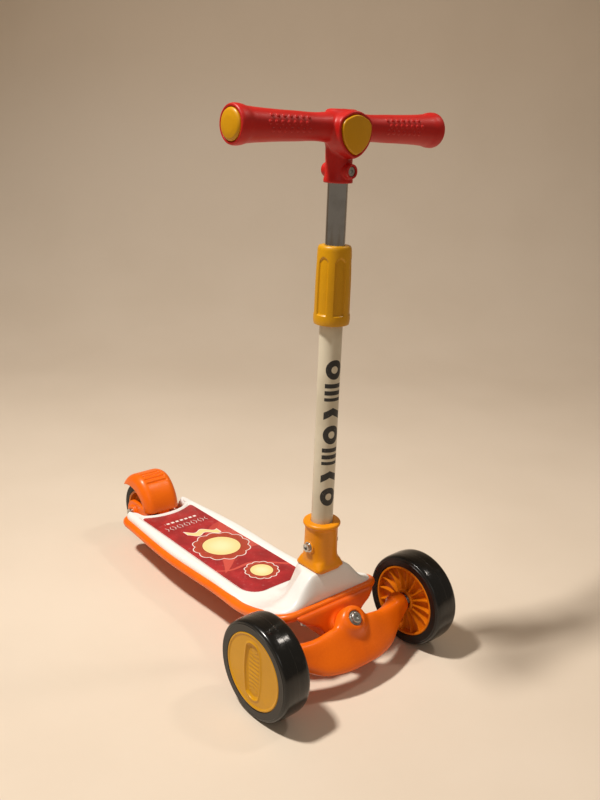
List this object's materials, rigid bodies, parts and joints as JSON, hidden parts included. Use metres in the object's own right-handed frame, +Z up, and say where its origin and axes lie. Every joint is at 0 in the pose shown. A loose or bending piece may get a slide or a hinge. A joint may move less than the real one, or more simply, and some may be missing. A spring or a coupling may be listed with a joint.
{
  "type": "kick scooter",
  "caption": "Child's lean-to-steer kick scooter with two front wheels, a rear brake fender and a telescoping T-bar with a twist lock.",
  "frame": {"origin": "on the floor, under the middle of the scooter's length and width", "axes": "+Z up along the stem, travel along -Y with the front wheels at -Y, rider's left is +X"},
  "size_m": [0.2934, 0.565, 0.6572],
  "materials": {
    "white_plastic": "glossy moulded plastic",
    "grip_mat": "printed grip mat, fine pebble",
    "orange_plastic": "satin-gloss moulded plastic",
    "amber_plastic": "satin-gloss moulded plastic",
    "yellow_plastic": "satin moulded plastic",
    "red_plastic": "satin moulded plastic",
    "black_plastic": "moulded nylon",
    "black_tyre": "smooth cast polyurethane",
    "white_paint": "gloss powder coat with a dark band graphic",
    "chrome_tube": "bright chrome plate",
    "zinc_steel": "bright zinc plate",
    "bearing_steel": "ground steel with dark shields"
  },
  "bodies": {
    "deck": {"deck_cover": "white_plastic", "nose_cover": "white_plastic", "deck_mat": "grip_mat", "deck_shell": "orange_plastic", "nose_bracket": "orange_plastic", "stem_collar": "amber_plastic", "lower_tube": "white_paint", "stem_spigot": "zinc_steel", "collar_bolt": "zinc_steel", "collar_nut": "zinc_steel", "split_collet": "black_plastic", "pivot_bolt": "zinc_steel", "pivot_nut": "zinc_steel", "rear_axle": "zinc_steel", "rear_nut": "zinc_steel", "rear_spacers": "zinc_steel", "fender_pin": "zinc_steel", "fender_springs": "zinc_steel", "deck_screws": "zinc_steel", "foot_screws": "zinc_steel", "bracket_bolts": "zinc_steel", "bracket_nuts": "zinc_steel"},
    "lock_sleeve": {"lock_sleeve": "yellow_plastic"},
    "handlebar": {"upper_tube": "chrome_tube", "tube_plug": "black_plastic", "handlebar_body": "red_plastic", "front_badge": "yellow_plastic", "end_cap_left": "yellow_plastic", "end_cap_right": "yellow_plastic", "clamp_bolt": "zinc_steel", "clamp_nut": "zinc_steel"},
    "truck": {"truck_arm": "orange_plastic", "pivot_bush": "black_plastic", "front_axle_left": "zinc_steel", "front_axle_right": "zinc_steel", "axle_spacer_left": "zinc_steel", "axle_spacer_right": "zinc_steel"},
    "front_wheel_left": {"front_tyre_left": "black_tyre", "front_hub_left": "amber_plastic", "hub_cap_left": "yellow_plastic", "front_bearings_left": "bearing_steel"},
    "front_wheel_right": {"front_tyre_right": "black_tyre", "front_hub_right": "amber_plastic", "hub_cap_right": "yellow_plastic", "front_bearings_right": "bearing_steel"},
    "rear_wheel": {"rear_tyre": "black_tyre", "rear_hub": "amber_plastic", "rear_bearings": "bearing_steel"},
    "brake": {"brake_fender": "orange_plastic", "brake_pad": "black_plastic"}
  },
  "joints": [
    {"name": "lean_steer", "type": "hinge", "parent": "deck", "child": "truck", "pos_m": [0, -0.2345, 0.078], "axis": [0, -0.7071, 0.7071], "range_deg": [-12, 12], "stiffness_Nm_per_rad": 12},
    {"name": "front_spin_left", "type": "hinge", "parent": "truck", "child": "front_wheel_left", "pos_m": [0.1225, -0.2225, 0.06], "axis": [1, 0, 0], "continuous": true},
    {"name": "front_spin_right", "type": "hinge", "parent": "truck", "child": "front_wheel_right", "pos_m": [-0.1225, -0.2225, 0.06], "axis": [1, 0, 0], "continuous": true},
    {"name": "rear_spin", "type": "hinge", "parent": "deck", "child": "rear_wheel", "pos_m": [0, 0.2375, 0.045], "axis": [1, 0, 0], "continuous": true},
    {"name": "height_slide", "type": "slide", "parent": "deck", "child": "handlebar", "axis": [0, 0, 1], "range_m": [-0.06, 0.1]},
    {"name": "sleeve_twist", "type": "hinge", "parent": "deck", "child": "lock_sleeve", "pos_m": [0, -0.174, 0.472], "axis": [0, 0, 1], "range_deg": [0, 60]},
    {"name": "brake_press", "type": "hinge", "parent": "deck", "child": "brake", "pos_m": [0, 0.1865, 0.05], "axis": [-1, 0, 0], "range_deg": [0, 3], "stiffness_Nm_per_rad": 1.5, "springref_deg": -5.73}
  ]
}
